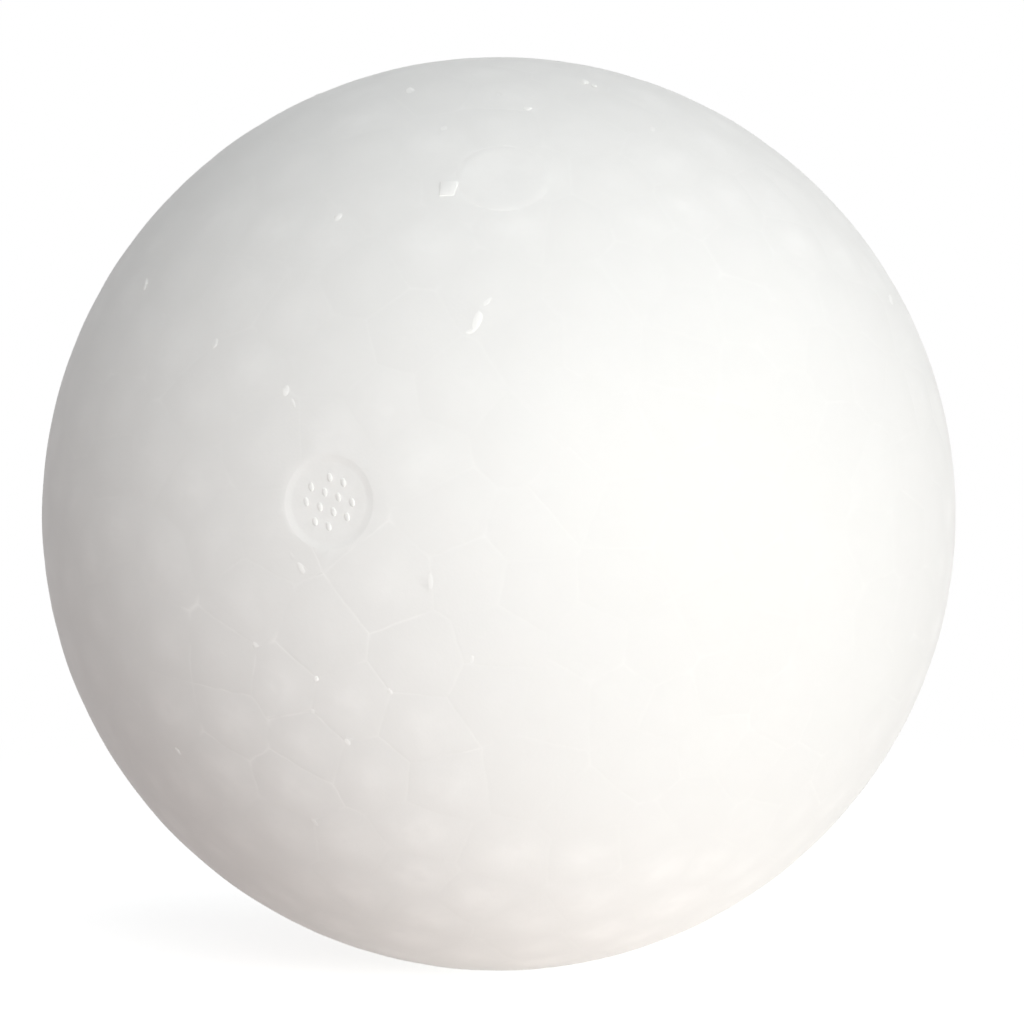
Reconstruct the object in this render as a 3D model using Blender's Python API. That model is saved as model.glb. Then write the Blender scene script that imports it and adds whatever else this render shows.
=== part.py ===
# Polystyrene craft ball: one piece of fused foam beads, with the marks of two mould vents.
# The origin is the ball's centre. Lengths are in metres and angles in degrees.

import math
import random

import bmesh
import bpy
from mathutils import Matrix, Vector

# The ball and its beads
BALL_DIAMETER = 0.060
BEAD_WIDTH = 0.0044  # mean width of one bead's face on the surface
BEAD_CROWDING = 0.77  # the closest that two bead centres come, as a share of that width
BEAD_CLEARANCE = 1.0  # the closest that a further bead comes to a placed one, as such a share
BEAD_SEED = 9
SEAM_DEPTH = 0.00005  # how far the corners between beads lie below the beads' middles
SHORTEST_SEAM = 0.0004  # corners that lie closer together than this are one

# Beads whose outlines or middles the photo shows, each as its azimuth, turned from +X about +Z,
# and its elevation above the equator
PLACED_BEADS = [
    (-112.1, -9.3), (-109.0, -17.3), (-117.4, -15.3), (-121.0, -5.1), (-125.3, -13.0),
    (-115.4, -22.7), (-99.9, -20.3), (-106.4, -26.4), (-99.3, -11.2), (-126.0, -20.4),
    (-109.9, 7.1), (-102.9, -2.1), (-131.0, -28.2), (-119.8, -29.3), (-90.2, 59.3),
    (-94.7, -48.1), (-115.7, -46.3), (-84.5, -53.6), (-104.4, -43.2), (-118.7, 54.3),
    (-71.8, -49.2), (-101.4, -35.4), (-105.0, -51.9), (-113.4, -38.8), (-102.6, 56.3),
    (-97.7, -28.0), (-109.7, 34.4), (-110.5, 14.6), (-141.7, 43.0), (-123.5, 22.6),
    (-88.8, -39.0), (-85.5, -27.0), (-101.3, 39.3), (-130.8, 18.5), (-123.9, -36.5),
    (-118.6, 13.2), (-143.1, 33.5), (-132.9, 49.7), (-119.4, 29.1), (-111.0, 24.3),
    (-128.6, 31.9), (-134.2, -0.5), (-104.6, 18.8), (-95.5, 20.7),
]

# Round marks that the mould's vents leave: both vents are alike, but one stood proud of the mould
# and left a hollow, and the other was set back and left a low flat disc
VENT_DIAMETER = 0.0059
VENT_SIDES = 48
HOLLOW_MARK_AZIMUTH = -110.5
HOLLOW_MARK_ELEVATION = 7.0
HOLLOW_MARK_DEPTH = 0.00010  # of its flat floor below its rim
HOLLOW_MARK_STEP = 0.00003  # height of the upright part of its wall, at the rim
HOLLOW_MARK_SLOPE = 0.00045  # width of the slope from that step to the floor
FLAT_MARK_AZIMUTH = -89.2
FLAT_MARK_ELEVATION = 50.3
FLAT_MARK_RISE = 0.00004  # of its face above its rim
FLAT_MARK_BEVEL = 0.00003  # along the edge of its face
FLAT_MARK_COVER = 0.00002  # least thickness of the disc over the ball inside it

# Pips on the hollow mark's floor, where foam ran into the vent's holes
PIP_DIAMETER = 0.00056
PIP_TOP_DIAMETER = 0.00024
PIP_PITCH = 0.00095
PIP_HEIGHT = 0.00013
PIP_SHOULDER = 0.00005  # height of the rounding at a pip's top
PIP_ROWS_TURN = -17.0  # of the rows, seen from outside
PIP_MARGIN = 0.00040  # least space between a pip's foot and the slope
PIP_SIDES = 10

# Bare expanded polystyrene
FOAM_COLOUR = (0.87, 0.86, 0.83, 1.0)
FOAM_ROUGHNESS = 0.62
SHARP_ANGLE = 30.0  # edges that turn more than this are shaded as edges

BALL_RADIUS = BALL_DIAMETER / 2
VENT_RADIUS = VENT_DIAMETER / 2


def clear_scene():
    for old in list(bpy.data.objects):
        bpy.data.objects.remove(old, do_unlink=True)


def foam_material():
    material = bpy.data.materials.new("expanded_polystyrene")
    material.use_nodes = True
    shader = material.node_tree.nodes["Principled BSDF"]
    shader.inputs["Base Color"].default_value = FOAM_COLOUR
    shader.inputs["Roughness"].default_value = FOAM_ROUGHNESS
    shader.inputs["Metallic"].default_value = 0.0
    return material


def new_object(name, mesh):
    data = bpy.data.meshes.new(name)
    mesh.to_mesh(data)
    mesh.free()
    data.shade_smooth()
    data.set_sharp_from_angle(angle=math.radians(SHARP_ANGLE))
    shape = bpy.data.objects.new(name, data)
    bpy.context.collection.objects.link(shape)
    return shape


def outward_direction(azimuth, elevation):
    level = math.cos(math.radians(elevation))
    return Vector((
        level * math.cos(math.radians(azimuth)),
        level * math.sin(math.radians(azimuth)),
        math.sin(math.radians(elevation)),
    ))


# One bead faces straight down, so that the ball rests on it. Beside it and the placed ones, each
# further bead lies where a random throw at the ball finds room
def bead_directions():
    closest = BEAD_CROWDING * BEAD_WIDTH / BALL_RADIUS
    clearance = BEAD_CLEARANCE * BEAD_WIDTH / BALL_RADIUS
    throws = int(400 * (BALL_RADIUS / BEAD_WIDTH) ** 2)
    dice = random.Random(BEAD_SEED)
    placed = [outward_direction(*place) for place in PLACED_BEADS]
    beads = [Vector((0, 0, -1))]
    for _ in range(throws):
        height = dice.uniform(-1, 1)
        turn = dice.uniform(-math.pi, math.pi)
        width = math.sqrt(1 - height * height)
        bead = Vector((width * math.cos(turn), width * math.sin(turn), height))
        if any((bead - other).length < clearance for other in placed):
            continue
        if all((bead - other).length > closest for other in beads):
            beads.append(bead)
    return placed + beads


# The faces around a hull's vertex, in order, so that their middles go once round the bead
def faces_in_order(bead):
    middle = bead.co.normalized()
    east = middle.orthogonal().normalized()
    north = middle.cross(east)
    return sorted(
        bead.link_faces,
        key=lambda face: math.atan2(face.normal.dot(north), face.normal.dot(east)),
    )


# Three neighbouring beads meet in a sunken corner, and each bead's middle stands proud
def ball_mesh():
    hull = bmesh.new()
    for direction in bead_directions():
        hull.verts.new(direction)
    bmesh.ops.convex_hull(hull, input=hull.verts)
    hull.normal_update()
    ball = bmesh.new()
    corner_radius = BALL_RADIUS - SEAM_DEPTH
    corners = {face: ball.verts.new(corner_radius * face.normal) for face in hull.faces}
    for bead in hull.verts:
        ball.faces.new([corners[face] for face in faces_in_order(bead)])
    hull.free()
    bmesh.ops.remove_doubles(ball, verts=ball.verts, dist=SHORTEST_SEAM)
    for middle in bmesh.ops.poke(ball, faces=ball.faces)["verts"]:
        middle.co = BALL_RADIUS * middle.co.normalized()
    return ball


# A round solid about an upright axis. Its profile is (radius, height) points from foot to top
def add_turned(mesh, sides, profile, place=(0, 0)):
    rings = []
    for radius, height in profile:
        turns = [2 * math.pi * side / sides for side in range(sides)]
        rings.append([
            mesh.verts.new((
                place[0] + radius * math.cos(turn),
                place[1] + radius * math.sin(turn),
                height,
            ))
            for turn in turns
        ])
    for low, high in zip(rings, rings[1:]):
        for side in range(sides):
            following = (side + 1) % sides
            mesh.faces.new((low[side], low[following], high[following], high[side]))
    mesh.faces.new(reversed(rings[0]))
    mesh.faces.new(rings[-1])


# Stands a shape that was made about the Z axis on another side of the ball, its Y axis upward
def face_outward(shape, azimuth, elevation, turn=0.0):
    direction = outward_direction(azimuth, elevation)
    spin = Matrix.Rotation(math.radians(turn), 4, "Z")
    shape.matrix_world = direction.to_track_quat("Z", "Y").to_matrix().to_4x4() @ spin


def combine(ball, tool, operation):
    tool.hide_render = True
    tool.display_type = "WIRE"
    tool.parent = ball
    step = ball.modifiers.new(tool.name, "BOOLEAN")
    step.operation = operation
    step.object = tool
    step.solver = "EXACT"


def rim_height():
    return math.sqrt(BALL_RADIUS**2 - VENT_RADIUS**2)


def floor_height():
    return rim_height() - HOLLOW_MARK_DEPTH


def hollow_mark():
    floor_radius = VENT_RADIUS - HOLLOW_MARK_SLOPE
    profile = [
        (floor_radius, floor_height()),
        (VENT_RADIUS, rim_height() - HOLLOW_MARK_STEP),
        (VENT_RADIUS, BALL_RADIUS + HOLLOW_MARK_DEPTH),
    ]
    mesh = bmesh.new()
    add_turned(mesh, VENT_SIDES, profile)
    return new_object("hollow_mark", mesh)


def flat_mark():
    face = rim_height() + FLAT_MARK_RISE
    profile = [
        (VENT_RADIUS, rim_height() - VENT_RADIUS),
        (VENT_RADIUS, face - FLAT_MARK_BEVEL),
        (VENT_RADIUS - FLAT_MARK_BEVEL, face),
    ]
    mesh = bmesh.new()
    add_turned(mesh, VENT_SIDES, profile)
    return new_object("flat_mark", mesh)


# The crown that the flat mark's vent pressed down, which is cut off before the disc is added
def crown():
    base = rim_height() + FLAT_MARK_RISE - FLAT_MARK_COVER
    profile = [(VENT_DIAMETER, base), (VENT_DIAMETER, BALL_RADIUS + VENT_RADIUS)]
    mesh = bmesh.new()
    add_turned(mesh, VENT_SIDES, profile)
    return new_object("crown", mesh)


# Pips stand on a square grid, wherever one clears the slope around the floor
def pip_places():
    reach = VENT_RADIUS - HOLLOW_MARK_SLOPE - PIP_MARGIN - PIP_DIAMETER / 2
    rows = math.ceil(reach / PIP_PITCH)
    steps = [(row + 0.5) * PIP_PITCH for row in range(-rows, rows)]
    return [(x, y) for x in steps for y in steps if math.hypot(x, y) <= reach]


# A pip's sides run on into the floor as far as they stand above it
def pips():
    foot = PIP_DIAMETER / 2
    shoulder = (foot + PIP_TOP_DIAMETER / 2) / 2
    shoulder_height = PIP_HEIGHT - PIP_SHOULDER
    profile = [
        (2 * foot - shoulder, floor_height() - shoulder_height),
        (shoulder, floor_height() + shoulder_height),
        (PIP_TOP_DIAMETER / 2, floor_height() + PIP_HEIGHT),
    ]
    mesh = bmesh.new()
    for place in pip_places():
        add_turned(mesh, PIP_SIDES, profile, place)
    return new_object("pips", mesh)


def build_ball():
    ball = new_object("ball", ball_mesh())
    ball.data.materials.append(foam_material())

    top = crown()
    face_outward(top, FLAT_MARK_AZIMUTH, FLAT_MARK_ELEVATION)
    combine(ball, top, "DIFFERENCE")

    disc = flat_mark()
    face_outward(disc, FLAT_MARK_AZIMUTH, FLAT_MARK_ELEVATION)
    combine(ball, disc, "UNION")

    hollow = hollow_mark()
    face_outward(hollow, HOLLOW_MARK_AZIMUTH, HOLLOW_MARK_ELEVATION)
    combine(ball, hollow, "DIFFERENCE")

    bumps = pips()
    face_outward(bumps, HOLLOW_MARK_AZIMUTH, HOLLOW_MARK_ELEVATION, PIP_ROWS_TURN)
    combine(ball, bumps, "UNION")
    return ball


clear_scene()
build_ball()
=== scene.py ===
import math
import random

import bmesh
import bpy
from mathutils import Matrix, Vector
from mathutils.kdtree import KDTree


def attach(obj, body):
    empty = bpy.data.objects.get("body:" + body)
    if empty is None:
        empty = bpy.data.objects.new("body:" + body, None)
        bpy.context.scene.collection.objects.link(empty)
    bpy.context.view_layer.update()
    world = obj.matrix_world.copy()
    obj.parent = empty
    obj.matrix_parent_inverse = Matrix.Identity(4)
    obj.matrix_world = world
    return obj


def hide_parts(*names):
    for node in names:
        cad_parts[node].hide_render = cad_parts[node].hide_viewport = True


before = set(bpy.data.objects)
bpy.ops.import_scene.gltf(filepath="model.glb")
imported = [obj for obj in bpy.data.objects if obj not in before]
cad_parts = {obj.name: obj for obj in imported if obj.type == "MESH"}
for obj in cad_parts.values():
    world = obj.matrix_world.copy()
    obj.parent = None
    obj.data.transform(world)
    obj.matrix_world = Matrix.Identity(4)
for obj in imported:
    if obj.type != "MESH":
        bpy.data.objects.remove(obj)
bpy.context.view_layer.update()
print("frame loaded")


# Helpers

def linearColour(hexColour):
    shades = [int(hexColour[place:place + 2], 16) / 255 for place in (1, 3, 5)]
    return (*(s / 12.92 if s <= 0.04045 else ((s + 0.055) / 1.055) ** 2.4 for s in shades), 1.0)


def addNode(tree, kind, inputs=None, **settings):  # an input given a socket is linked to it
    node = tree.nodes.new(kind)
    for name, value in settings.items():
        setattr(node, name, value)
    for name, value in (inputs or {}).items():
        if isinstance(value, bpy.types.NodeSocket):
            tree.links.new(value, node.inputs[name])
        else:
            node.inputs[name].default_value = value
    return node


def selectOnly(*shapes):
    for other in bpy.context.selected_objects:
        other.select_set(False)
    for shape in shapes:
        shape.select_set(True)
    bpy.context.view_layer.objects.active = shapes[0]


def outward(azimuth, elevation):  # degrees, azimuth from +X about +Z
    level = math.cos(math.radians(elevation))
    return Vector((
        level * math.cos(math.radians(azimuth)),
        level * math.sin(math.radians(azimuth)),
        math.sin(math.radians(elevation)),
    ))


def seenRays(tree):  # 1 for what the camera sees, also through clear things and in gloss
    path = addNode(tree, "ShaderNodeLightPath")
    direct = addNode(tree, "ShaderNodeMath", {
        0: path.outputs["Is Camera Ray"], 1: path.outputs["Is Transmission Ray"],
    }, operation="MAXIMUM")
    return addNode(tree, "ShaderNodeMath", {
        0: direct.outputs[0], 1: path.outputs["Is Glossy Ray"],
    }, operation="MAXIMUM").outputs[0]


# Camera and light

cameraSet = {
    "elevation": 6.0,
    "distance": 0.3746,
    "lens": 200.0,
    "shift": (0.0128, 0.0018),  # the ball sits a little left of and below the photo's middle
    "clipStart": 0.01,
}

bpy.ops.object.camera_add(
    location=cameraSet["distance"] * outward(-90, cameraSet["elevation"]),
    rotation=(math.radians(90 - cameraSet["elevation"]), 0, 0),
)
camera = bpy.context.object
camera.data.lens = cameraSet["lens"]
camera.data.shift_x, camera.data.shift_y = cameraSet["shift"]
camera.data.clip_start = cameraSet["clipStart"]
bpy.context.scene.camera = camera
bpy.context.scene.view_settings.view_transform = "Standard"
print("camera ready")

lightSet = {
    "fill": ("#F9FDFF", 0.37),  # colour and level of the light from all round
    "lamps": {  # azimuth, elevation, distance, width, level at the ball, colour
        "keyLamp": (-74.0, 17.0, 0.9, 0.60, 0.575, "#FDFFFE"),
        "sideLamp": (12.0, 42.0, 0.9, 0.50, 0.14, "#FFFFFF"),
        "topLamp": (-90.0, 68.0, 0.9, 0.50, 0.03, "#FFFFFF"),
    },
    "outsideWhite": 1.0,  # what the camera and gloss see beyond the floor
}

for lampName, (azimuth, elevation, distance, width, level, tint) in lightSet["lamps"].items():
    direction = outward(azimuth, elevation)
    bpy.ops.object.light_add(type="AREA", location=distance * direction)
    lamp = bpy.context.object
    lamp.name = lampName
    lamp.rotation_euler = direction.to_track_quat("Z", "Y").to_euler()
    lamp.data.shape = "DISK"
    lamp.data.size = width
    lamp.data.energy = level * (math.pi * distance) ** 2  # watts for that level on a white card
    lamp.data.color = linearColour(tint)[:3]

world = bpy.data.worlds.new("studioWorld")
bpy.context.scene.world = world
world.use_nodes = True
world.node_tree.nodes.clear()
tree = world.node_tree
fillColour, fillLevel = lightSet["fill"]
fill = addNode(tree, "ShaderNodeBackground", {"Color": linearColour(fillColour), "Strength": fillLevel})
outside = addNode(tree, "ShaderNodeBackground", {
    "Color": (1, 1, 1, 1), "Strength": lightSet["outsideWhite"],
})
both = addNode(tree, "ShaderNodeMixShader", {
    0: seenRays(tree), 1: fill.outputs[0], 2: outside.outputs[0],
})
addNode(tree, "ShaderNodeOutputWorld", {"Surface": both.outputs[0]})
print("light ready")


# Floor: plain white board, which keeps the ball's shadow and turns to pure white further out

floorSet = {
    "height": -0.030,
    "radius": 3.0,
    "colour": "#F2F2F2",
    "bounce": "#D2C3BF",  # what it throws back at the ball is darker and warmer
    "glow": 0.62,  # of the white that the camera and gloss see, close to the ball
    "fadeFrom": 0.030,
    "fadeTo": 0.110,
    "throw": ("#F6FFFD", 0.52),  # colour and level of the light that its right half throws up
    "throwFrom": -0.027,  # along X, where that light sets in and where it is full
    "throwTo": 0.020,
}

bpy.ops.mesh.primitive_circle_add(
    vertices=96, radius=floorSet["radius"], fill_type="NGON", location=(0, 0, floorSet["height"])
)
floor = bpy.context.object
floor.name = "floor"
floorCard = bpy.data.materials.new("matteWhiteCard")
floorCard.use_nodes = True
tree = floorCard.node_tree
tree.nodes.clear()
spot = addNode(tree, "ShaderNodeTexCoord")
flat = addNode(tree, "ShaderNodeVectorMath", {0: spot.outputs["Object"], 1: (1, 1, 0)}, operation="MULTIPLY")
reach = addNode(tree, "ShaderNodeVectorMath", {0: flat.outputs[0]}, operation="LENGTH")
fade = addNode(tree, "ShaderNodeMapRange", {
    "Value": reach.outputs["Value"], "From Min": floorSet["fadeFrom"], "From Max": floorSet["fadeTo"],
}, interpolation_type="SMOOTHSTEP")
sides = addNode(tree, "ShaderNodeSeparateXYZ", {0: spot.outputs["Object"]})
throwColour, throwLevel = floorSet["throw"]
onRight = addNode(tree, "ShaderNodeMapRange", {
    "Value": sides.outputs["X"],
    "From Min": floorSet["throwFrom"], "From Max": floorSet["throwTo"], "To Max": throwLevel,
})
throw = addNode(tree, "ShaderNodeEmission", {
    "Color": linearColour(throwColour), "Strength": onRight.outputs[0],
})
card = addNode(tree, "ShaderNodeBsdfDiffuse", {"Color": linearColour(floorSet["colour"])})
warmCard = addNode(tree, "ShaderNodeBsdfDiffuse", {"Color": linearColour(floorSet["bounce"])})
litCard = addNode(tree, "ShaderNodeAddShader", {0: warmCard.outputs[0], 1: throw.outputs[0]})
glow = addNode(tree, "ShaderNodeEmission", {"Color": (1, 1, 1, 1), "Strength": floorSet["glow"]})
near = addNode(tree, "ShaderNodeAddShader", {0: card.outputs[0], 1: glow.outputs[0]})
white = addNode(tree, "ShaderNodeEmission", {
    "Color": (1, 1, 1, 1), "Strength": lightSet["outsideWhite"],
})
seenFloor = addNode(tree, "ShaderNodeMixShader", {
    0: fade.outputs[0], 1: near.outputs[0], 2: white.outputs[0],
})
mixed = addNode(tree, "ShaderNodeMixShader", {
    0: seenRays(tree), 1: litCard.outputs[0], 2: seenFloor.outputs[0],
})
addNode(tree, "ShaderNodeOutputMaterial", {"Surface": mixed.outputs[0]})
floor.data.materials.append(floorCard)
print("floor ready")


# The ball's beads, laid out as in the solid

beadSet = {
    "ballDiameter": 0.060,
    "beadWidth": 0.0044,  # mean width of a bead's face
    "crowding": 0.77,  # the closest two beads come, as a share of that width
    "clearance": 1.0,  # the closest that a further bead comes to a placed one, as such a share
    "seed": 9,
    "shortestSeam": 0.0004,
    "seamStep": 0.0009,  # longest stretch of a seam between two points
    "seamWander": 0.00005,  # how far a seam strays from straight
    "edgeSink": 0.00003,  # of a bead's edge below the ball's radius
    "rise": (0.000012, 0.000035),  # least and most that a bead's middle stands above its edge
    "seamDepth": 0.000015,
    "seamReach": 0.00010,  # from a seam's bottom to where its sides end
    "seamTintReach": 0.6,  # of a seam's paler tint, as a share of that
    # how far the painted glint at a bead corner spreads from it
    "cornerGlintReach": 0.00020,
    "clearPlace": (-113.0, -14.0),  # around here the photo shows the seams clearly
    "clearReach": 19.0,
    "clearSeams": (0.1, 0.8),
    "faintSeams": (0.0, 0.25),
    "seamRings": (0.00006, 0.00012, 0.00025),  # rings of points beside a seam
    "innerRings": (0.36, 0.60, 0.82),  # further rings, as shares of the way to the middle
    "middleReach": 0.62,  # of the paler middle, as a share of a bead's own radius
    "paleMiddles": (0.6, 1.2),  # in the lower left, where the photo shows them
    "palePlace": (-110.0, -48.0),
    "paleReach": 38.0,
    "plainMiddles": (0.0, 0.15),  # on the side to the right, where it shows none
    "plainPlace": (-58.0, 2.0),
    "plainReach": 40.0,
    "faintMiddles": (0.2, 0.8),
    "placedBeads": [  # azimuth and elevation of the beads whose outlines or middles the photo shows
        (-112.1, -9.3), (-109.0, -17.3), (-117.4, -15.3), (-121.0, -5.1), (-125.3, -13.0),
        (-115.4, -22.7), (-99.9, -20.3), (-106.4, -26.4), (-99.3, -11.2), (-126.0, -20.4),
        (-109.9, 7.1), (-102.9, -2.1), (-131.0, -28.2), (-119.8, -29.3), (-90.2, 59.3),
        (-94.7, -48.1), (-115.7, -46.3), (-84.5, -53.6), (-104.4, -43.2), (-118.7, 54.3),
        (-71.8, -49.2), (-101.4, -35.4), (-105.0, -51.9), (-113.4, -38.8), (-102.6, 56.3),
        (-97.7, -28.0), (-109.7, 34.4), (-110.5, 14.6), (-141.7, 43.0), (-123.5, 22.6),
        (-88.8, -39.0), (-85.5, -27.0), (-101.3, 39.3), (-130.8, 18.5), (-123.9, -36.5),
        (-118.6, 13.2), (-143.1, 33.5), (-132.9, 49.7), (-119.4, 29.1), (-111.0, 24.3),
        (-128.6, 31.9), (-134.2, -0.5), (-104.6, 18.8), (-95.5, 20.7),
    ],
}
ballRadius = beadSet["ballDiameter"] / 2


def beadDirections():
    closest = beadSet["crowding"] * beadSet["beadWidth"] / ballRadius
    throws = int(400 * (ballRadius / beadSet["beadWidth"]) ** 2)
    dice = random.Random(beadSet["seed"])
    placed = [outward(*place) for place in beadSet["placedBeads"]]
    clearance = beadSet["clearance"] * beadSet["beadWidth"] / ballRadius
    beads = [Vector((0, 0, -1))]
    for _ in range(throws):
        height = dice.uniform(-1, 1)
        turn = dice.uniform(-math.pi, math.pi)
        width = math.sqrt(1 - height * height)
        bead = Vector((width * math.cos(turn), width * math.sin(turn), height))
        if any((bead - other).length < clearance for other in placed):
            continue
        if all((bead - other).length > closest for other in beads):
            beads.append(bead)
    return placed + beads


def facesInOrder(bead):  # a hull vertex's faces, once round it
    middle = bead.co.normalized()
    east = middle.orthogonal().normalized()
    north = middle.cross(east)
    return sorted(
        bead.link_faces,
        key=lambda face: math.atan2(face.normal.dot(north), face.normal.dot(east)),
    )


# Each bead's outline is the polygon that its neighbours press it into
def beadOutlines():
    hull = bmesh.new()
    for direction in beadDirections():
        hull.verts.new(direction)
    bmesh.ops.convex_hull(hull, input=hull.verts)
    hull.normal_update()
    outlines = bmesh.new()
    corners = {face: outlines.verts.new(ballRadius * face.normal) for face in hull.faces}
    for bead in hull.verts:
        outlines.faces.new([corners[face] for face in facesInOrder(bead)])
    hull.free()
    bmesh.ops.remove_doubles(outlines, verts=outlines.verts, dist=beadSet["shortestSeam"])
    return outlines


def beadHeight(share, fromSeam, rise, strength):  # from the ball's centre
    dome = rise * (1 - (1 - share) ** 2)
    groove = strength * beadSet["seamDepth"] * math.exp(-(2 * fromSeam / beadSet["seamReach"]) ** 2)
    return ballRadius - beadSet["edgeSink"] + dome - groove


# Rings of points run from each outline up to the bead's middle. Their marks, as attributes, tell the
# material how strongly a seam or the painted glint at a corner shows there, and how near the bead's middle is
markNames = ("seam", "corner", "middle", "tone", "fleck")


def beadSurface():
    dice = random.Random(beadSet["seed"])
    outlines = beadOutlines()
    mesh = bmesh.new()
    layers = {name: mesh.verts.layers.float.new(name) for name in markNames}

    def addPoint(height, direction, **marks):
        point = mesh.verts.new(height * direction.normalized())
        for name, value in marks.items():
            point[layers[name]] = value
        return point

    def within(place, middle, reach):
        return place.angle(outward(*middle)) < math.radians(reach)

    def fading(distance, reach):
        return math.exp(-(distance / reach) ** 2)

    def showing(place):  # how strongly one seam shows
        clear = within(place, beadSet["clearPlace"], beadSet["clearReach"])
        return dice.uniform(*beadSet["clearSeams" if clear else "faintSeams"])

    strengths = {edge: showing(edge.verts[0].co + edge.verts[1].co) for edge in outlines.edges}
    cornerPoints = {}
    for corner in outlines.verts:
        seams = [strengths[edge] for edge in corner.link_edges]
        # painted highlight: a glint at some bead corners, where light catches the meeting of three beads
        glint = dice.random() ** 2 * max(seams)
        strength = sum(seams) / len(seams)
        cornerPoints[corner] = addPoint(
            beadHeight(0, 0, 0, strength), corner.co, seam=strength, corner=glint, tone=0.5
        )
    seamPoints = {}
    for edge in outlines.edges:
        first, last = edge.verts
        pieces = math.ceil(edge.calc_length() / beadSet["seamStep"])
        points = []
        for step in range(1, pieces):
            stray = beadSet["seamWander"] * Vector([dice.uniform(-1, 1) for _ in range(3)])
            place = first.co.lerp(last.co, step / pieces) + stray
            strength = strengths[edge]
            points.append(addPoint(beadHeight(0, 0, 0, strength), place, seam=strength, tone=0.5))
        seamPoints[edge] = points

    tintReach = beadSet["seamTintReach"] * beadSet["seamReach"]
    ways = len(beadSet["seamRings"]), len(beadSet["innerRings"])
    for outline in outlines.faces:
        rim = []
        for loop in outline.loops:
            between = seamPoints[loop.edge]
            rim += [cornerPoints[loop.vert], *(between if loop.edge.verts[0] == loop.vert else between[::-1])]
        middleWay = sum((point.co for point in rim), Vector()).normalized()
        rise = dice.uniform(*beadSet["rise"])
        tone = dice.random()
        kind = "faintMiddles"
        if within(middleWay, beadSet["plainPlace"], beadSet["plainReach"]):
            kind = "plainMiddles"
        elif within(middleWay, beadSet["palePlace"], beadSet["paleReach"]):
            kind = "paleMiddles"
        strength = dice.uniform(*beadSet[kind])
        radius = sum((point.co - ballRadius * middleWay).length for point in rim) / len(rim)
        pairs = list(zip(range(len(rim)), [*range(1, len(rim)), 0]))
        last = rim
        for step in range(sum(ways)):
            ring = []
            for point in rim:
                wayIn = ballRadius * middleWay - point.co
                if step < ways[0]:
                    share = beadSet["seamRings"][step] / wayIn.length
                else:
                    share = beadSet["innerRings"][step - ways[0]]
                fromSeam = share * wayIn.length
                fromMiddle = (1 - share) * wayIn.length / (beadSet["middleReach"] * radius)
                ring.append(addPoint(
                    beadHeight(share, fromSeam, rise, point[layers["seam"]]),
                    point.co + share * wayIn,
                    seam=point[layers["seam"]] * fading(fromSeam, tintReach),
                    corner=point[layers["corner"]] * fading(fromSeam, beadSet["cornerGlintReach"]),
                    middle=strength * math.exp(-fromMiddle**2),
                    tone=tone,
                ))
            for here, there in pairs:
                mesh.faces.new((last[here], last[there], ring[there], ring[here]))
            last = ring
        middle = addPoint(beadHeight(1, ballRadius, rise, 0), middleWay, middle=strength, tone=tone)
        for here, there in pairs:
            mesh.faces.new((last[here], last[there], middle))
    outlines.free()
    return mesh


ballData = bpy.data.meshes.new("foamBall")
surface = beadSurface()
surface.to_mesh(ballData)
surface.free()
foamBall = bpy.data.objects.new("foamBall", ballData)
bpy.context.collection.objects.link(foamBall)
print("beads ready:", len(foamBall.data.polygons), "faces")


# Turned solids, extruded ring by ring from a filled circle. A profile is (radius, height) pairs
def turnSolid(name, sides, profile):
    selectOnly(foamBall)
    bpy.ops.mesh.primitive_circle_add(
        vertices=sides, radius=profile[0][0], fill_type="NGON", location=(0, 0, profile[0][1])
    )
    solid = bpy.context.object
    solid.name = name
    bpy.ops.object.transform_apply(location=True)
    bpy.ops.object.mode_set(mode="EDIT")
    bpy.ops.mesh.select_all(action="SELECT")
    for (radius, height), (nextRadius, nextHeight) in zip(profile, profile[1:]):
        bpy.ops.mesh.extrude_region_move(TRANSFORM_OT_translate={"value": (0, 0, nextHeight - height)})
        stretch = nextRadius / radius
        bpy.ops.transform.resize(value=(stretch, stretch, 1), center_override=(0, 0, nextHeight))
    bpy.ops.mesh.select_all(action="SELECT")
    bpy.ops.mesh.normals_make_consistent(inside=False)
    bpy.ops.object.mode_set(mode="OBJECT")
    return solid


# Moves a shape made about the Z axis to its place on the ball, its Y axis upward
def standOnBall(shape, azimuth, elevation, turn=0.0, across=(0, 0)):
    spin = Matrix.Rotation(math.radians(turn), 4, "Z") @ Matrix.Translation((*across, 0))
    shape.matrix_world = outward(azimuth, elevation).to_track_quat("Z", "Y").to_matrix().to_4x4() @ spin
    selectOnly(shape)
    bpy.ops.object.transform_apply(location=True, rotation=True, scale=True)


def markPoints(shape, **marks):
    for name in markNames:
        layer = shape.data.attributes.new(name, "FLOAT", "POINT")
        layer.data.foreach_set("value", [marks.get(name, 0.0)] * len(shape.data.vertices))


joinSet = {
    "sameSpot": 0.000002,  # points closer together than this become one
    "sliver": 0.000001,  # edges and faces smaller than this are removed
    "sharpAngle": 35.0,  # edges that turn more than this are shaded as edges
}
markedPoints = []  # place and marks of each point of the shapes that make up the ball


def keepMarks(shape):
    layers = [shape.data.attributes[name].data for name in markNames]
    markedPoints.extend(
        (point.co.copy(), [layer[point.index].value for layer in layers]) for point in shape.data.vertices
    )


# A boolean loses the marks, so each point takes those of the nearest kept point. A point that is
# new, where two shapes meet, is no longer part of a fleck and gets none of its painted highlight
def restoreMarks(shape):
    tree = KDTree(len(markedPoints))
    for index, (place, _) in enumerate(markedPoints):
        tree.insert(place, index)
    tree.balance()
    found = [tree.find(point.co) for point in shape.data.vertices]
    for column, name in enumerate(markNames):
        shape.data.attributes[name].data.foreach_set("value", [
            0.0 if name == "fleck" and distance > joinSet["sameSpot"] else markedPoints[index][1][column]
            for _, index, distance in found
        ])


def joinShapes(shapes, name):
    selectOnly(*shapes)
    bpy.ops.object.join()
    shapes[0].name = name
    return shapes[0]


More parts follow.
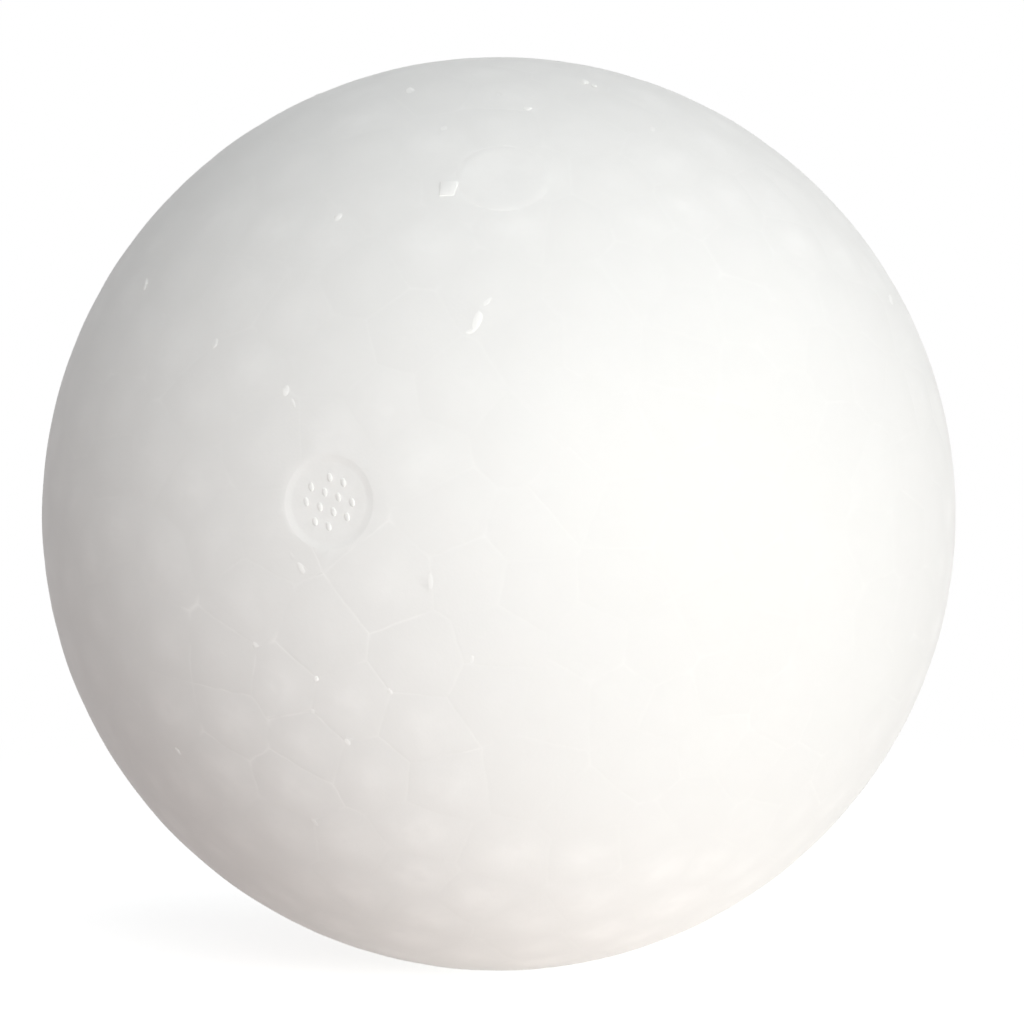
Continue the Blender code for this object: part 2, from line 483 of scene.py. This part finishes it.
def combine(tool, operation):  # cuts the tool from the ball or adds it, then removes the tool
    keepMarks(tool)
    selectOnly(foamBall)
    step = foamBall.modifiers.new(tool.name, "BOOLEAN")
    step.operation = operation
    step.object = tool
    step.solver = "EXACT"
    bpy.ops.object.modifier_apply(modifier=step.name)
    bpy.ops.object.mode_set(mode="EDIT")
    bpy.ops.mesh.select_all(action="SELECT")
    bpy.ops.mesh.remove_doubles(threshold=joinSet["sameSpot"])
    bpy.ops.mesh.dissolve_degenerate(threshold=joinSet["sliver"])
    bpy.ops.object.mode_set(mode="OBJECT")
    bpy.data.objects.remove(tool, do_unlink=True)


keepMarks(foamBall)


# Marks of two alike mould vents: one stood proud of the mould and left a round hollow, and foam
# ran into its holes as pips. The other was set back and left a low flat disc

ventSet = {
    "diameter": 0.0059,
    "sides": 96,
    "hollowPlace": (-110.5, 7.0),
    "hollowDepth": 0.00009,  # of the floor below the rim
    "hollowStep": 0.00002,  # height of the wall's upright part, at the rim
    "hollowSlope": 0.00050,  # width of the slope inside it
    "hollowCurve": 1.3,  # how much that slope steepens outwards
    "floorRing": 0.00006,  # from the floor's edge in to its outer ring of points
    "cutterSpread": 0.00001,  # of the cutter above the rim, so that it leaves nothing standing
    "flatPlace": (-89.2, 50.3),
    "flatRise": 0.00004,  # of the disc's face above its own rim
    "flatRounding": (0.00060, 0.00007),  # width and drop of its rounded edge
    "flatRings": (0.75, 0.4),  # rings on a level face, as shares of the vent's radius
    "plainMarks": {"middle": 0.45, "tone": 0.5},
}
ventRadius = ventSet["diameter"] / 2
rimHeight = math.sqrt(ballRadius**2 - ventRadius**2)
floorHeight = rimHeight - ventSet["hollowDepth"]

floorRadius = ventRadius - ventSet["hollowSlope"]
slopeRise = ventSet["hollowDepth"] - ventSet["hollowStep"]
slope = [
    (floorRadius + share * ventSet["hollowSlope"], floorHeight + slopeRise * share ** ventSet["hollowCurve"])
    for share in (0.15, 0.3, 0.5, 0.7, 0.88, 1.0)
]
hollow = turnSolid("hollow", ventSet["sides"], [
    (ventSet["flatRings"][-1] * ventRadius, floorHeight),
    (floorRadius - ventSet["floorRing"], floorHeight),
    (floorRadius, floorHeight),
    *slope,
    (ventRadius + ventSet["cutterSpread"], ballRadius + ventSet["hollowDepth"]),
])
markPoints(hollow, **ventSet["plainMarks"])
standOnBall(hollow, *ventSet["hollowPlace"])
combine(hollow, "DIFFERENCE")
print("hollow mark ready")

flatTop = rimHeight + ventSet["flatRise"]
edgeWidth, edgeDrop = ventSet["flatRounding"]
flatWay = outward(*ventSet["flatPlace"])
for point in foamBall.data.vertices:  # the beads under the disc are pressed level
    height = point.co.dot(flatWay)
    if height > flatTop - edgeDrop and (point.co - height * flatWay).length < ventRadius:
        point.co -= (height - flatTop + edgeDrop) * flatWay
flat = turnSolid("flat", ventSet["sides"], [
    (ventRadius, rimHeight - ventRadius),
    *((ventRadius - edgeWidth * share, flatTop - edgeDrop * (1 - share) ** 2)
      for share in (0.0, 0.15, 0.3, 0.5, 0.7, 1.0)),
    *((share * ventRadius, flatTop) for share in ventSet["flatRings"]),
])
markPoints(flat, **ventSet["plainMarks"])
standOnBall(flat, *ventSet["flatPlace"])

pipSet = {
    "diameter": 0.00056,
    "topDiameter": 0.00024,
    "pitch": 0.00095,
    "height": 0.00008,
    "stretch": (0.60, 1.00),  # they look a little upright
    "lean": 15.0,
    "rowsTurn": -17.0,
    "margin": 0.00040,  # least space between a pip's foot and the slope
    "levelTop": 0.6,  # its level part, as a share of the top
    "sides": 16,
    # painted highlight: the pips are made whiter for their lit sides
    "glintWhiteness": 0.20,
}


def pipPlaces():
    reach = floorRadius - pipSet["margin"] - pipSet["diameter"] / 2
    rows = math.ceil(reach / pipSet["pitch"])
    steps = [(row + 0.5) * pipSet["pitch"] for row in range(-rows, rows)]
    return [(x, y) for x in steps for y in steps if math.hypot(x, y) <= reach]


def makePip(place):
    foot, top = pipSet["diameter"] / 2, pipSet["topDiameter"] / 2
    profile = [(foot, floorHeight - pipSet["height"])]
    for share in (0.0, 0.25, 0.5, 0.7, 0.85, 0.95):  # a rounded button
        profile.append((
            top + (foot - top) * math.sqrt(1 - share**2),
            floorHeight + pipSet["height"] * share,
        ))
    profile.append((top * pipSet["levelTop"], floorHeight + pipSet["height"]))
    pip = turnSolid("pip", pipSet["sides"], profile)
    pip.scale = (*pipSet["stretch"], 1)
    pip.rotation_euler.z = math.radians(pipSet["lean"] - pipSet["rowsTurn"])
    bpy.ops.object.transform_apply(rotation=True, scale=True)
    markPoints(pip, fleck=pipSet["glintWhiteness"])
    standOnBall(pip, *ventSet["hollowPlace"], pipSet["rowsTurn"], place)
    return pip


pips = [makePip(place) for place in pipPlaces()]
combine(joinShapes([flat, *pips], "marks"), "UNION")
print("vent marks ready:", len(pips), "pips")


# Flecks: crumbs and folds of bead skin on the seams, a little proud of the ball. Their whiter colour is
# painted highlight, for the glint where they catch the light

fleckSet = {
    "thickness": 0.009,  # mm, half of it, to which a share of the width is added
    "thicknessShare": 0.03,
    "raggedness": 0.16,
    "lift": 6.0,  # of the whitest: the edge away from the key lamp stands up and catches its light
    "shown": [  # azimuth, elevation, length and width in mm, turn, whiteness of the painted highlight: those in the photo
        (-134.1, -57.8, 1.20, 0.55, 39, 0.45), (-121.4, 69.3, 1.25, 0.55, 127, 1.0),
        (-120.4, -10.6, 0.56, 0.39, 4, 0.9), (-151.6, 3.8, 1.05, 0.50, 100, 0.9),
        (-117.6, 19.9, 0.73, 0.43, 87, 0.65), (-116.2, 18.4, 0.70, 0.22, 120, 0.5),
        (-113.7, -1.0, 0.80, 0.38, 121, 0.6), (-53.3, 72.3, 0.90, 0.50, 54, 0.8),
        (-98.5, -41.6, 0.77, 0.34, 101, 0.9), (-109.8, -22.3, 0.53, 0.36, 104, 0.8),
        (-151.9, 31.9, 1.10, 0.45, 129, 0.4), (-117.3, 43.4, 0.63, 0.42, 87, 0.6),
        (-112.7, -14.1, 0.43, 0.31, 56, 0.45), (-103.2, 59.7, 0.61, 0.45, 84, 0.6),
        (-105.3, -8.5, 0.37, 0.33, 119, 0.6), (-152.9, 44.6, 0.82, 0.50, 101, 0.6),
        (-103.3, -15.4, 0.44, 0.30, 116, 0.5), (-98.1, -1.8, 1.04, 0.37, 94, 0.45),
        (-92.8, 29.2, 1.25, 0.48, 76, 0.6), (-138.5, -26.0, 0.57, 0.42, 110, 0.35),
        (-130.5, 25.3, 0.71, 0.40, 94, 0.35), (-147.8, 16.1, 0.51, 0.42, 4, 0.4),
        (-81.8, 64.6, 0.56, 0.45, 47, 0.4), (-16.1, 29.2, 1.30, 0.60, 30, 0.8),
        (-124.5, 62.0, 0.58, 0.45, 140, 0.4), (-90.0, 68.3, 0.60, 0.40, 94, 0.4),
        (-51.0, 59.1, 0.59, 0.40, 41, 0.4), (-52.2, 70.5, 0.60, 0.35, 53, 0.4),
        (-161.0, 34.9, 0.70, 0.40, 175, 0.3), (-97.2, -58.4, 0.70, 0.39, 84, 0.4),
        (-137.1, 32.3, 0.43, 0.36, 164, 0.3), (-113.8, -18.4, 0.35, 0.28, 81, 0.4),
        (-120.3, -19.7, 0.33, 0.31, 29, 0.4), (-101.5, -25.2, 0.51, 0.28, 134, 0.4),
        (-111.1, -1.1, 0.50, 0.23, 2, 0.4), (-106.0, -11.7, 0.38, 0.26, 2, 0.4),
        (-130.7, -15.8, 0.64, 0.34, 132, 0.4), (-86.9, 26.3, 0.49, 0.33, 10, 0.5),
        (-104.6, 26.2, 0.38, 0.27, 67, 0.4), (-93.1, -11.3, 0.51, 0.24, 80, 0.4),
        (-117.8, -34.6, 0.68, 0.35, 112, 0.4), (-91.7, 31.6, 0.75, 0.28, 48, 0.6),
        (-114.9, 0.6, 0.42, 0.26, 118, 0.3), (-93.9, 27.6, 0.60, 0.30, 20, 0.5),
    ],
    "chipPlace": (-99.2, 48.1, 4),  # one square crumb, with its turn
    "chipSize": (0.90, 1.20, 0.12),  # mm
    "chipBevel": 0.03,
    "chipCorner": 0.20,  # how far its upper right corner runs out
    "chipLift": 3.0,
    # painted highlight: the chip is made whiter for its glint
    "chipGlintWhiteness": 0.6,
    "unseen": 70,  # further ones on the sides that the photo doesn't show, and their ranges
    "unseenLength": (0.35, 1.1),
    "unseenWidth": (0.25, 0.45),
    # painted highlight on the further flecks, as on those shown
    "unseenGlintWhiteness": (0.3, 0.9),
    "unseenSpacing": 0.06,  # radians
    "seed": 5,
}


millimetre = 0.001
raggedDice = random.Random(fleckSet["seed"])
lampWay = outward(*lightSet["lamps"]["keyLamp"][:2])


def liftEdge(shape, way, height, angle):  # about its own middle, which stays where it is
    middle = Matrix.Translation(height * way)
    lift = Matrix.Rotation(math.radians(angle), 4, way.cross(lampWay))
    shape.matrix_world = middle @ lift @ middle.inverted()
    selectOnly(shape)
    bpy.ops.object.transform_apply(location=True, rotation=True, scale=True)


def makeFleck(azimuth, elevation, length, width, turn, glintWhiteness):
    selectOnly(foamBall)
    bpy.ops.mesh.primitive_ico_sphere_add(subdivisions=2, radius=millimetre)
    fleck = bpy.context.object
    fleck.name = "fleck"
    for point in fleck.data.vertices:
        point.co *= 1 + fleckSet["raggedness"] * raggedDice.uniform(-1, 1)
    thickness = fleckSet["thickness"] + fleckSet["thicknessShare"] * width
    way = outward(azimuth, elevation)
    skinHeight = foamBall.ray_cast(2 * ballRadius * way, -way)[1].length
    bpy.ops.object.mode_set(mode="EDIT")
    bpy.ops.mesh.select_all(action="SELECT")
    bpy.ops.transform.resize(value=(length / 2, width / 2, thickness))
    bpy.ops.transform.translate(value=(0, 0, skinHeight))
    bpy.ops.object.mode_set(mode="OBJECT")
    markPoints(fleck, fleck=glintWhiteness)
    standOnBall(fleck, azimuth, elevation, turn)
    liftEdge(fleck, way, skinHeight, fleckSet["lift"] * glintWhiteness**2)
    return fleck


def makeChip():
    selectOnly(foamBall)
    bpy.ops.mesh.primitive_cube_add(size=millimetre, location=(0, 0, ballRadius))
    chip = bpy.context.object
    chip.name = "chip"
    bpy.ops.object.transform_apply(location=True)
    bpy.ops.object.mode_set(mode="EDIT")
    bpy.ops.mesh.select_all(action="SELECT")
    bpy.ops.transform.resize(value=fleckSet["chipSize"], center_override=(0, 0, ballRadius))
    bpy.ops.mesh.bevel(offset=fleckSet["chipBevel"] * millimetre, segments=2)
    bpy.ops.object.mode_set(mode="OBJECT")
    for point in chip.data.vertices:
        if point.co.x > 0 and point.co.y > 0:
            point.co.x += fleckSet["chipCorner"] * millimetre
    markPoints(chip, fleck=fleckSet["chipGlintWhiteness"])
    standOnBall(chip, *fleckSet["chipPlace"])
    liftEdge(chip, outward(*fleckSet["chipPlace"][:2]), ballRadius, fleckSet["chipLift"])
    return chip


def unseenFlecks():
    dice = random.Random(fleckSet["seed"])
    front = outward(-90, cameraSet["elevation"])
    found = []
    while len(found) < fleckSet["unseen"]:
        elevation = math.degrees(math.asin(dice.uniform(-1, 1)))
        azimuth = dice.uniform(-180, 180)
        length = dice.uniform(*fleckSet["unseenLength"])
        width = dice.uniform(*fleckSet["unseenWidth"])
        turn, glintWhiteness = dice.uniform(0, 180), dice.uniform(*fleckSet["unseenGlintWhiteness"])
        way = outward(azimuth, elevation)
        if way.dot(front) > 0.02:
            continue
        if any(way.angle(outward(*other[:2])) < fleckSet["unseenSpacing"] for other in found):
            continue
        found.append((azimuth, elevation, length, width, turn, glintWhiteness))
    return found


combine(makeChip(), "UNION")
flecks = [makeFleck(*fleck) for fleck in fleckSet["shown"] + unseenFlecks()]
combine(joinShapes(flecks, "flecks"), "UNION")
restoreMarks(foamBall)
foamBall.data.calc_loop_triangles()
print("flecks ready:", len(flecks), "and the ball has", len(foamBall.data.loop_triangles), "triangles")


# Expanded polystyrene, moulded: bead skins fused edge to edge, so it is matte white, a little
# translucent, whiter where skins meet, with faint foam cells inside each bead. Real cells are about
# 0.1 mm, too fine to show here, so the grain is drawn at 0.2 mm

foamSet = {
    "base": "#F8F7F5",
    "shade": "#F1F0EE",  # between a bead's middle and its seam
    "beadTones": 0.15,  # how much whole beads differ, as a share of the step from shade to base
    "mottling": 0.50,
    "mottleSize": 1.4,  # mm
    "mottleRange": (0.35, 0.75),  # of the noise, from none to all
    "patchSize": 2.2,  # mm, of the patches in which a seam shows or doesn't
    "patchRange": (0.40, 0.58),
    "grainSize": 0.2,  # mm, as coarse as it needs to show
    "grainStrength": 0.15,
    "grainHeight": 0.02,  # mm
    "seam": "#FBFAF8",
    # painted highlight: flecks, the chip and the pips turn to this whiter colour for their glints
    "fleck": "#FCFBF9",
    "roughness": 0.55,
    "glow": 0.25,  # share of light that enters and comes out close by
    "glowReach": 0.0006,
    "glowTint": (1.0, 0.95, 0.9),  # red light reaches furthest
    "refraction": 1.59,
    "reflection": 0.3,  # less than a smooth skin's 0.5, as bead skin is finely wrinkled
}

foam = bpy.data.materials.new("mouldedExpandedPolystyrene")
foam.use_nodes = True
tree = foam.node_tree
tree.nodes.clear()
spot = addNode(tree, "ShaderNodeTexCoord").outputs["Object"]

marks = {
    name: addNode(tree, "ShaderNodeAttribute", attribute_name=name).outputs["Fac"]
    for name in markNames
}
patches = addNode(tree, "ShaderNodeTexNoise", {
    "Vector": spot, "Scale": 1000 / foamSet["patchSize"], "Detail": 1.0,
})
patchy = addNode(tree, "ShaderNodeMapRange", {
    "Value": patches.outputs["Fac"],
    "From Min": foamSet["patchRange"][0], "From Max": foamSet["patchRange"][1],
}, interpolation_type="SMOOTHSTEP")
mottle = addNode(tree, "ShaderNodeTexNoise", {
    "Vector": spot, "Scale": 1000 / foamSet["mottleSize"], "Detail": 2.0,
})
mottled = addNode(tree, "ShaderNodeMapRange", {
    "Value": mottle.outputs["Fac"], "From Min": foamSet["mottleRange"][0],
    "From Max": foamSet["mottleRange"][1], "To Max": foamSet["mottling"],
}, interpolation_type="SMOOTHSTEP")
toned = addNode(tree, "ShaderNodeMath", {
    0: marks["tone"], 1: foamSet["beadTones"], 2: marks["middle"],
}, operation="MULTIPLY_ADD")
skin = addNode(tree, "ShaderNodeMix", {
    0: toned.outputs[0], 6: linearColour(foamSet["shade"]), 7: linearColour(foamSet["base"]),
}, data_type="RGBA")
skin = addNode(tree, "ShaderNodeMix", {
    0: mottled.outputs[0], 6: skin.outputs[2], 7: linearColour(foamSet["shade"]),
}, data_type="RGBA")
# seams take the paler tint, and bead corners a painted glint in the same colour
seamAndGlint = addNode(tree, "ShaderNodeMath", {
    0: marks["seam"], 1: patchy.outputs[0], 2: marks["corner"],
}, operation="MULTIPLY_ADD")
skin = addNode(tree, "ShaderNodeMix", {
    0: seamAndGlint.outputs[0], 6: skin.outputs[2], 7: linearColour(foamSet["seam"]),
}, data_type="RGBA")
# painted highlight on flecks, chip and pips
skin = addNode(tree, "ShaderNodeMix", {
    0: marks["fleck"], 6: skin.outputs[2], 7: linearColour(foamSet["fleck"]),
}, data_type="RGBA")
grain = addNode(tree, "ShaderNodeTexVoronoi", {"Vector": spot, "Scale": 1000 / foamSet["grainSize"]})
bump = addNode(tree, "ShaderNodeBump", {
    "Height": grain.outputs["Distance"],
    "Strength": foamSet["grainStrength"], "Distance": foamSet["grainHeight"] / 1000,
})
shader = addNode(tree, "ShaderNodeBsdfPrincipled", {
    "Base Color": skin.outputs[2],
    "Roughness": foamSet["roughness"],
    "IOR": foamSet["refraction"],
    "Specular IOR Level": foamSet["reflection"],
    "Subsurface Weight": foamSet["glow"],
    "Subsurface Scale": foamSet["glowReach"],
    "Subsurface Radius": foamSet["glowTint"],
    "Normal": bump.outputs[0],
}, subsurface_method="BURLEY")
addNode(tree, "ShaderNodeOutputMaterial", {"Surface": shader.outputs[0]})
foamBall.data.materials.clear()
foamBall.data.materials.append(foam)
selectOnly(foamBall)
bpy.ops.object.shade_smooth_by_angle(angle=math.radians(joinSet["sharpAngle"]))
print("foam ready")

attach(foamBall, "root")
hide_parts("ball")
